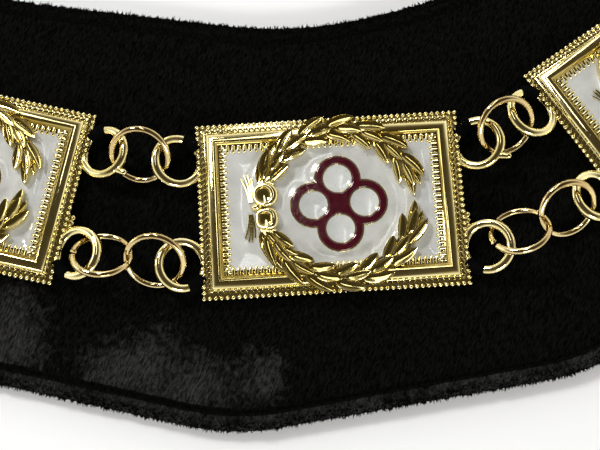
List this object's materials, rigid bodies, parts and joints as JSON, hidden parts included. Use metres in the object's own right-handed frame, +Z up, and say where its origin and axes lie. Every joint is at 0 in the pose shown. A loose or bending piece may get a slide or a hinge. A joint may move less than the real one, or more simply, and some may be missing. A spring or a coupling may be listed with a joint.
{
  "type": "chain of office",
  "caption": "Padded velvet collar that lies round the neck, carrying enamelled gilt plaques joined by two rows of interlocked rings.",
  "frame": {"origin": "middle of the collar's outline, on the underside of the velvet, where it rests on a table", "axes": "+Z up out of the plaques' faces; -Y is the front of the collar and +Y the back of the neck; +X is the wearer's left arm of the collar, on the right as seen from above with the front nearest"},
  "size_m": [0.4064, 0.4621, 0.0155],
  "materials": {
    "velvet": "black cotton velvet, deep pile, topstitched near both edges",
    "gilt_casting": "polished gilt casting",
    "gilt_wire": "polished gilt wire, slightly darkened",
    "white_enamel": "glossy white enamel with fine grey specks",
    "wine_enamel": "glossy wine red enamel"
  },
  "bodies": {
    "root": {"velvet_collar": "velvet", "plaque_front": "gilt_casting", "plaque_right_1": "gilt_casting", "plaque_left_1": "gilt_casting", "plaque_right_2": "gilt_casting", "plaque_left_2": "gilt_casting", "plaque_right_3": "gilt_casting", "plaque_left_3": "gilt_casting", "plaque_right_4": "gilt_casting", "plaque_left_4": "gilt_casting", "plaque_right_5": "gilt_casting", "plaque_left_5": "gilt_casting", "white_field_front": "white_enamel", "white_field_right_1": "white_enamel", "white_field_left_1": "white_enamel", "white_field_right_2": "white_enamel", "white_field_left_2": "white_enamel", "white_field_right_3": "white_enamel", "white_field_left_3": "white_enamel", "white_field_right_4": "white_enamel", "white_field_left_4": "white_enamel", "white_field_right_5": "white_enamel", "white_field_left_5": "white_enamel", "emblem_front": "wine_enamel", "emblem_right_1": "wine_enamel", "emblem_left_1": "wine_enamel", "emblem_right_2": "wine_enamel", "emblem_left_2": "wine_enamel", "emblem_right_3": "wine_enamel", "emblem_left_3": "wine_enamel", "emblem_right_4": "wine_enamel", "emblem_left_4": "wine_enamel", "emblem_right_5": "wine_enamel", "emblem_left_5": "wine_enamel", "inner_link_back": "gilt_wire", "inner_link_right_1": "gilt_wire", "inner_link_left_1": "gilt_wire", "inner_link_right_2": "gilt_wire", "inner_link_left_2": "gilt_wire", "inner_link_right_3": "gilt_wire", "inner_link_left_3": "gilt_wire", "inner_link_right_4": "gilt_wire", "inner_link_left_4": "gilt_wire", "inner_link_right_5": "gilt_wire", "inner_link_left_5": "gilt_wire", "outer_links_back": "gilt_wire", "outer_links_right_1": "gilt_wire", "outer_links_left_1": "gilt_wire", "outer_links_right_2": "gilt_wire", "outer_links_left_2": "gilt_wire", "outer_links_right_3": "gilt_wire", "outer_links_left_3": "gilt_wire", "outer_links_right_4": "gilt_wire", "outer_links_left_4": "gilt_wire", "outer_links_right_5": "gilt_wire", "outer_links_left_5": "gilt_wire"}
  },
  "joints": []
}
